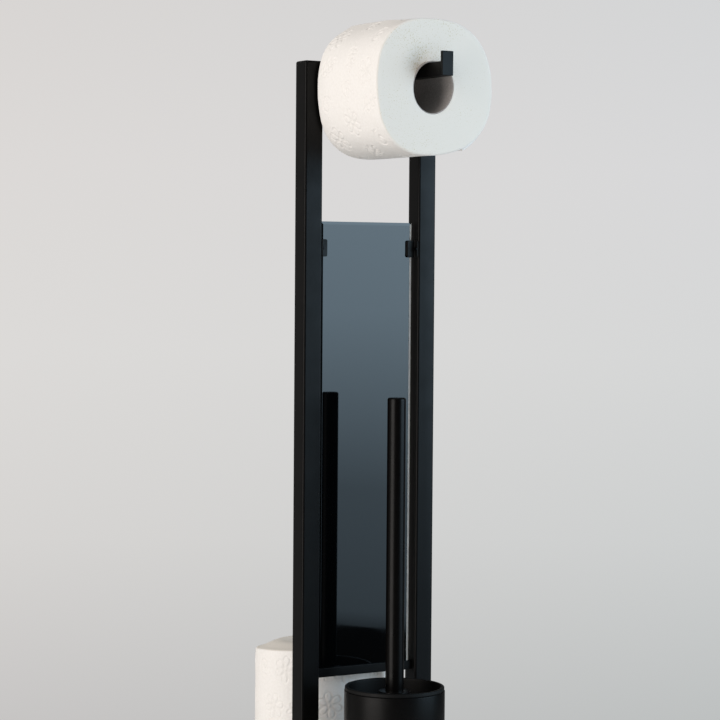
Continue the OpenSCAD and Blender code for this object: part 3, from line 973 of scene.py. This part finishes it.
# An embossed line is sunk, between low ridges at so many line widths from its middle.
EMBOSS_DEPTH = 0.6 * MM
EMBOSS_LINE = 0.7 * MM
RIDGE_SHARE = 0.3
RIDGE_AT = 2.2

# Soft creases in the sheet, longer along the roll than round it.
CREASE_DEPTH = 0.35 * MM
CREASE_SIZE = 16 * MM
CREASE_RUN = 0.6

# A face at an end whose normal lies closer to the axis than this is a cut end of the windings.
END_TILT = 0.75

# Card core, with a helical seam that takes up a small share of each turn.
CORE_WALL = 1 * MM
CORE_EASE = 0.25 * MM
CORE_INSET = 0.9 * MM
SEAM_PITCH = 48 * MM
SEAM_SHARE = 0.04
SEAM_DEPTH = 0.3 * MM


def soft(value, low, high):
    """Smooth step from 0 to 1."""
    t = min(max((value - low) / (high - low), 0.0), 1.0)
    return t * t * (3 - 2 * t)


def hump(angle, at, width):
    """1 at one angle, falling off smoothly on both sides over a width in radians."""
    gap = abs((angle - at + math.pi) % math.tau - math.pi)
    return math.exp(-((gap / width) ** 2))


def wave(angle, mean, *pairs):
    """How far a worn outline lies from its circle, in metres, from its mean and its pairs of
    cosine and sine terms in millimetres."""
    terms = (
        c * math.cos(k * angle) + s * math.sin(k * angle) for k, (c, s) in enumerate(pairs, 1)
    )
    return MM * (mean + sum(terms))


def wound_roll(radius, seed, shape, end_darkening=None):
    """A roll of embossed tissue about the Z axis, from z = 0 up to its width. shape moves each
    point, given as angle, radius, height, to where the worn roll has it, and end_darkening says how dark
    the cut ends are painted there, with painted shade among it."""
    rim, width, hole = ROLL_RIM, ROLL_W, HOLE_R
    profile = stretch((hole, 0), (radius - rim, 0), 12)
    profile += arc((radius - rim, rim), rim, -90, 0, 6)[:-1]
    profile += stretch((radius, rim), (radius, width - rim), 124)
    profile += arc((radius - rim, width - rim), rim, 0, 90, 6)[:-1]
    profile += stretch((radius - rim, width), (hole, width), 12)
    profile += stretch((hole, width), (hole, 0), 8)
    bm = lathe(profile, ROLL_STEPS, closed=True)
    lines = emboss_tree(math.tau * radius, width, seed)
    pressed = bm.verts.layers.float.new("pressed")
    worn = bm.verts.layers.float.new("worn")
    own_creases = Vector((seed, 0, 0))
    for vert in bm.verts:
        angle, r, z = polar(vert.co)
        if r > radius - 0.6 * rim:
            lengthwise = Vector((vert.co.x, vert.co.y, z * CREASE_RUN))
            r += CREASE_DEPTH * noise.noise(lengthwise / CREASE_SIZE + own_creases)
            _, _, gap = lines.find((angle * radius, z, 0))
            near = gap / EMBOSS_LINE
            vert[pressed] = math.exp(-near * near)
            ridge = RIDGE_SHARE * math.exp(-((near - RIDGE_AT) ** 2))
            r -= EMBOSS_DEPTH * (vert[pressed] - ridge)
        # Painted shade: how dark the cut ends are painted here, most in the dent above the core.
        if end_darkening:
            vert[worn] = end_darkening(angle, r, z)
        vert.co = point_at(*shape(angle, r, z))
    bm.normal_update()
    for face in bm.faces:
        low = min(v.co.z for v in face.verts)
        at_end = low < 0.2 * width or low > 0.7 * width
        face.material_index = 1 if at_end and abs(face.normal.z) > END_TILT else 0
    return bm


def core_tube(shape):
    """Card tube in two wound plies: its cut ends are a little soft, and the inner ply's butt line
    is a fine helical groove."""
    radius, inner, ease = HOLE_R, HOLE_R - CORE_WALL, CORE_EASE
    low, high = CORE_INSET, ROLL_W - CORE_INSET
    profile = [(inner + ease, low), (radius - ease, low), (radius, low + ease)]
    profile += stretch((radius, low + 2 * ease), (radius, high - ease), 12)
    profile += [(radius, high - ease), (radius - ease, high)]
    profile += [(inner + ease, high), (inner, high - ease)]
    profile += stretch((inner, high - 2 * ease), (inner, low + ease), 72) + [(inner, low + ease)]
    bm = lathe(profile, 160, closed=True)
    for vert in bm.verts:
        angle, r, z = polar(vert.co)
        if r < inner + ease / 2 and (z / SEAM_PITCH - angle / math.tau) % 1 < SEAM_SHARE:
            r += SEAM_DEPTH
        vert.co = point_at(*shape(angle, r, z))
    return bm


# The roll in use: worn towards a rounded square, its core pressed in, most at the right, and its
# back end swollen at the top. Angles are seen from the front, from the right, anticlockwise, and
# z = 0 is the front end.

ROLL_TURN = next(joint for joint in frame["joints"] if joint["name"] == "roll_turn")
ROLL_AT = Vector((roll.mid.x, roll.low.y, ROLL_TURN["pos_m"][2]))
TO_ARM = Matrix.Translation(ROLL_AT) @ Matrix(
    ((1, 0, 0, 0), (0, 0, 1, 0), (0, 1, 0, 0), (0, 0, 0, 1))
)
ROLL_R = 58.5 * MM
BORE_SUNK = 0.5 * MM
DENT_ANGLE = math.radians(122)
DENT_DEPTH = 3.5 * MM
# Spots at the top left and the bottom where the cut ends are painted darker, and how much darker.
DARK_SPOT_ANGLES = (math.radians(108), math.radians(262))
SPOT_DARKENING = 0.85
SPOT_WIDTH = 0.5
SWELL = 6 * MM
SWELL_ANGLE = math.radians(100)
SWELL_WIDTH = 0.24
SWELL_TOP = 57.8 * MM


def dented(angle, r, z):
    """How much a point of the front end belongs to the dent above the core, at the upper left."""
    near_core = 1 - soft(r, HOLE_R + 3 * MM, HOLE_R + 17 * MM)
    return hump(angle, DENT_ANGLE, SPOT_WIDTH) * near_core * (1 - soft(z, 0, ROLL_W / 4))


def dent_shade_and_dark_spots(angle, r, z):
    """How dark a point of the cut ends is painted: most in the dent, as its painted shade, and some in spots at
    the top left and the bottom.
    """
    spots = sum(hump(angle, at, SPOT_WIDTH) for at in DARK_SPOT_ANGLES)
    return dented(angle, r, z) + SPOT_DARKENING * spots * soft(r, 24 * MM, 36 * MM)


def squeezed(angle, r, z):
    """The core and the windings next to it are pressed in, less so towards the back."""
    near = 1 - soft(r, HOLE_R, HOLE_R + 18 * MM)
    deep = 1 - 0.7 * soft(z, 0, 60 * MM)
    inward = wave(angle, -1.14, (-1.17, -0.32), (-0.99, 0.46), (0.19, 0.04))
    return angle, r + near * deep * inward, z


def hanging_shape(angle, r, z):
    """The whole roll in use: pressed core, worn outline, swollen back end and dented front end."""
    dent = dented(angle, r, z)
    angle, r, z = squeezed(angle, r, z)
    outline = wave(angle, 0.75, (-0.6, 0.28), (0.28, 0.13), (0.82, 0.1), (-1.76, -0.32))
    room = SWELL_TOP / max(math.sin(angle), 0.5) - ROLL_R - outline
    swell = min(SWELL * hump(angle, SWELL_ANGLE, SWELL_WIDTH), max(room, 0))
    r += soft(r, 30 * MM, ROLL_R) * (outline + swell * soft(z, 0, 0.4 * ROLL_W))
    if z < ROLL_W / 2:
        near_core = 1 - soft(r, HOLE_R - 2 * MM, HOLE_R + 5 * MM)
        z += BORE_SUNK * near_core + DENT_DEPTH * dent
    return angle, r, z


def on_arm(bm):
    """Brings a roll from the Z axis to the arm. That mirrors it, so its faces are turned out."""
    bmesh.ops.transform(bm, matrix=TO_ARM, verts=bm.verts[:])
    bmesh.ops.recalc_face_normals(bm, faces=bm.faces[:])
    return bm


def hanging_roll():
    """The paper and the card core of the roll in use."""
    bm = on_arm(wound_roll(ROLL_R, 11, hanging_shape, dent_shade_and_dark_spots))
    made = piece("hanging_roll_tissue", bm, "hanging_roll_paper", [SHEET, ENDS], ROLL_SMOOTH)
    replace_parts(made, "hanging_roll_paper")

    bm = on_arm(core_tube(squeezed))
    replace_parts(piece("hanging_roll_card", bm, "hanging_roll_core"), "hanging_roll_core")


TAIL_FROM = math.radians(-34)
TAIL_TO = math.radians(-62)
TAIL_TEAR = math.radians(0.9)
TAIL_INSET = 1.2 * MM
TAIL_PLIES = 1.6 * MM
TAIL_STEPS = 50
TAIL_ROWS = 110


def roll_tail():
    """The sheet's loose end: a few plies that leave the roll a little and end in a torn row of
    perforation."""
    bm = bmesh.new()
    draw = random.Random(5)
    ragged = [draw.uniform(0, 1) for _ in range(TAIL_ROWS + 1)]
    grid = []
    for i in range(TAIL_STEPS + 1):
        part = i / TAIL_STEPS
        row = []
        for j in range(TAIL_ROWS + 1):
            across = j / TAIL_ROWS
            z = TAIL_INSET + across * (ROLL_W - 2 * TAIL_INSET)
            end = TAIL_TO + TAIL_TEAR * (0.7 * ragged[j] + 0.8 * math.sin(across * 7 + 1))
            angle = TAIL_FROM + (end - TAIL_FROM) * part
            lift = (-0.2 + 1.6 * soft(part, 0.25, 1) - 0.5 * across) * MM
            lift += 0.15 * MM * noise.noise(Vector((angle * 9, across * 12, 3)))
            _, r, _ = hanging_shape(angle % math.tau, ROLL_R, z)
            row.append(bm.verts.new(point_at(angle, r + lift, z)))
        grid.append(row)
    for near, far in zip(grid, grid[1:]):
        for j in range(TAIL_ROWS):
            bm.faces.new((far[j], far[j + 1], near[j + 1], near[j]))
    bmesh.ops.transform(bm, matrix=TO_ARM, verts=bm.verts[:])
    bm.normal_update()
    made = piece("hanging_roll_tail", bm, "hanging_roll_paper", [SHEET], ROLL_SMOOTH)
    thick = made.modifiers.new("plies", "SOLIDIFY")
    thick.thickness = TAIL_PLIES
    thick.offset = -1


hanging_roll()
roll_tail()


# Spare rolls on the rod

SPARE_R = 60 * MM

# The upper roll's slip and lean, in millimetres, and the direction in which it leans up.
SLIP_UP = 3.4
SLIP_FALL = 7.4
LEAN = 4.5
LEAN_CURVE = 1.5
LEAN_FACING = math.radians(-121)


def lower_shape(angle, r, z):
    """The lower roll is a little out of round."""
    outline = wave(angle, 0, (0, 0), (0.2, 0.3), (0.15, -0.15))
    return angle, r + soft(r, 30 * MM, SPARE_R) * outline, z


def upper_shape(angle, r, z):
    """The upper roll's inner windings have slipped up round the core and its outer ones down,
    least at the front left."""
    slip = SLIP_UP - SLIP_FALL * soft(r, 36 * MM, SPARE_R + 1 * MM)
    facing = math.cos(angle - LEAN_FACING)
    lean = (LEAN * facing + LEAN_CURVE * facing * facing) * soft(r, 24 * MM, SPARE_R)
    angle, r, _ = lower_shape(angle, r, z)
    return angle, r, z + soft(z, 0.6 * ROLL_W, ROLL_W) * (slip + lean) * MM


def unchanged(angle, r, z):
    return angle, r, z


def spare_roll(level, seed, shape):
    """The paper and the card core of one spare roll."""
    paper = Span(f"spare_roll_{level}_paper")
    place = Vector((paper.mid.x, rod.mid.y, paper.low.z))
    bm = moved(wound_roll(SPARE_R, seed, shape), place)
    made = piece(
        f"spare_roll_{level}_tissue", bm, f"spare_roll_{level}_paper", [SHEET, ENDS], ROLL_SMOOTH
    )
    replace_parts(made, f"spare_roll_{level}_paper")
    bm = moved(core_tube(unchanged), place)
    card = piece(f"spare_roll_{level}_card", bm, f"spare_roll_{level}_core")
    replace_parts(card, f"spare_roll_{level}_core")


spare_roll("upper", 23, upper_shape)
spare_roll("lower", 37, lower_shape)

ROD_CHAMFER = 0.3 * MM
ROD_TIP = 3 * MM


def rod_bar():
    """Turned rod with a rounded tip."""
    r, low, high = rod.size.x / 2, rod.low.z, rod.high.z
    profile = [(0, low), (r - ROD_CHAMFER, low), (r, low + ROD_CHAMFER)]
    profile += stretch((r, low + 2 * MM), (r, high - ROD_TIP), 6)
    profile += arc((r - ROD_TIP, high - ROD_TIP), ROD_TIP, 0, 90, 8) + [(0, high)]
    bm = moved(lathe(profile, 72), Vector((rod.mid.x, rod.mid.y, 0)))
    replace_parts(piece("spare_rod_bar", bm, "spare_rod"), "spare_rod")


rod_bar()


# Stage and light

FLOOR_R = 0.74
FLOOR_FADE = 0.42


def floor_finish():
    """Pale matt floor that fades out towards its rim."""
    made, tree, shader, place = surface_of("pale floor", "#dedddb", 0.9, Specular_IOR_Level=0.1)
    far = node(tree, "VectorMath", {0: place}, operation="LENGTH").outputs["Value"]
    fade = scaled(tree, far, FLOOR_FADE, FLOOR_R, interpolation_type="SMOOTHSTEP")
    clear = node(tree, "BsdfTransparent").outputs["BSDF"]
    mix = node(tree, "MixShader", {0: fade, 1: shader.outputs["BSDF"], 2: clear})
    tree.links.new(mix.outputs["Shader"], tree.nodes["Material Output"].inputs["Surface"])
    return made


def pale_floor():
    """A round floor around the stand."""
    bm = bmesh.new()
    bmesh.ops.create_circle(bm, cap_ends=True, segments=128, radius=FLOOR_R)
    mesh = as_mesh("floor", bm)
    mesh.materials.append(floor_finish())
    shown("floor", mesh)


pale_floor()


def around_object(azimuth, distance, height):
    """A place around the object, its azimuth counted from +X towards +Y in degrees."""
    return Vector(point_at(math.radians(azimuth), distance, height))


def softbox(name, place, width, height, radiance, colour):
    """A level rectangular area lamp that faces the object's axis."""
    data = bpy.data.lights.new(name, "AREA")
    data.shape = "RECTANGLE"
    data.size = width
    data.size_y = height
    data.energy = radiance * math.pi * width * height
    data.color = linear(colour)[:3]
    lamp = shown(name, data)
    lamp.location = place
    lamp.rotation_mode = "QUATERNION"
    lamp.rotation_quaternion = Vector((place.x, place.y, 0)).to_track_quat("Z", "Y")
    return data


KEY_LOW = -0.114
KEY_HIGH = 1.4

# Brightness of the key light at parts of its height, from its foot up.
KEY_LEVELS = [
    (0.0, 0.1),
    (0.02, 0.2),
    (0.18, 0.275),
    (0.29, 0.51),
    (0.41, 0.77),
    (0.49, 0.83),
    (0.7, 1.0),
]


def key_light():
    """Cool softbox at the front right, where the pane mirrors its left part: even above, and
    fading downwards to a dark foot."""
    place = around_object(azimuth=316, distance=1.9, height=(KEY_HIGH + KEY_LOW) / 2)
    tall = KEY_HIGH - KEY_LOW
    data = softbox("cool softbox", place, width=1.5, height=tall, radiance=5.3, colour="#c9e6fa")
    data.use_nodes = True
    tree = data.node_tree
    over_lamp = node(tree, "NewGeometry").outputs["Parametric"]
    up = node(tree, "SeparateXYZ", {0: over_lamp}).outputs["Y"]
    greys = ramp(tree, up, [(part, (level, level, level, 1)) for part, level in KEY_LEVELS])
    tree.links.new(greys, tree.nodes["Emission"].inputs["Color"])


def fill_light():
    """Warm softbox at the left, for the rolls' ends."""
    place = around_object(azimuth=191, distance=2.1, height=0.82)
    softbox("warm fill", place, width=1.5, height=2.4, radiance=3.12, colour="#fff9f4")


key_light()
fill_light()


# How much a direction of view rises at the wall's lowest and highest tone, and how far it turns to
# each side from its warm to its cool tone.
WALL_LOW = -0.19
WALL_HIGH = 0.12
WALL_SIDE = 0.15
WARM_WALL = ["#c6c4c3", "#d6d4d2", "#dcdad8", "#dcd9d7", "#d8d5d3"]
COOL_WALL = ["#bcbfbf", "#cdcfcf", "#d6d7d7", "#d8d8d9", "#d4d5d6"]
ROOM_FRONT = 0.03
ROOM_BEHIND = 0.4
ROOM_FILL = 0.5


def wall_tones(tree, level, colours):
    """The wall's colour from the bottom of the view to its top."""
    last = len(colours) - 1
    return ramp(tree, level, [(i / last, linear(colour)) for i, colour in enumerate(colours)])


def pale_room():
    """A pale wall for the eye, warmer on the left and darker near the floor. Reflections see it
    dimly behind the stand and hardly at all in front, where the room is dark, and diffuse light is
    even."""
    world = bpy.data.worlds.new("pale room")
    bpy.context.scene.world = world
    world.use_nodes = True
    tree = world.node_tree
    way = node(tree, "TexCoord").outputs["Generated"]
    parts = node(tree, "SeparateXYZ", {0: way}).outputs
    level = scaled(tree, parts["Z"], WALL_LOW, WALL_HIGH)
    across = (math.cos(YAW), -math.sin(YAW), 0.0)
    side = node(tree, "VectorMath", {0: way, 1: across}, operation="DOT_PRODUCT").outputs["Value"]
    right = scaled(tree, side, -WALL_SIDE, WALL_SIDE)
    warm = wall_tones(tree, level, WARM_WALL)
    cool = wall_tones(tree, level, COOL_WALL)
    colour = node(tree, "Mix", {0: right, 6: warm, 7: cool}, data_type="RGBA").outputs[2]
    behind = scaled(tree, parts["Y"], 0.2, 0.8, ROOM_FRONT, ROOM_BEHIND)
    wall = node(tree, "Background", {"Color": colour, "Strength": 1.0}).outputs[0]
    room = node(tree, "Background", {"Color": colour, "Strength": behind}).outputs[0]
    even = {"Color": linear("#efebe6"), "Strength": ROOM_FILL}
    fill = node(tree, "Background", even).outputs[0]
    rays = node(tree, "LightPath").outputs
    seen = maths(tree, "MAXIMUM", rays["Is Camera Ray"], rays["Is Transmission Ray"])
    lit = node(tree, "MixShader", {0: rays["Is Glossy Ray"], 1: fill, 2: room}).outputs[0]
    mix = node(tree, "MixShader", {0: seen, 1: lit, 2: wall}).outputs[0]
    tree.links.new(mix, tree.nodes["World Output"].inputs["Surface"])


pale_room()

bpy.context.scene.view_settings.view_transform = "Standard"
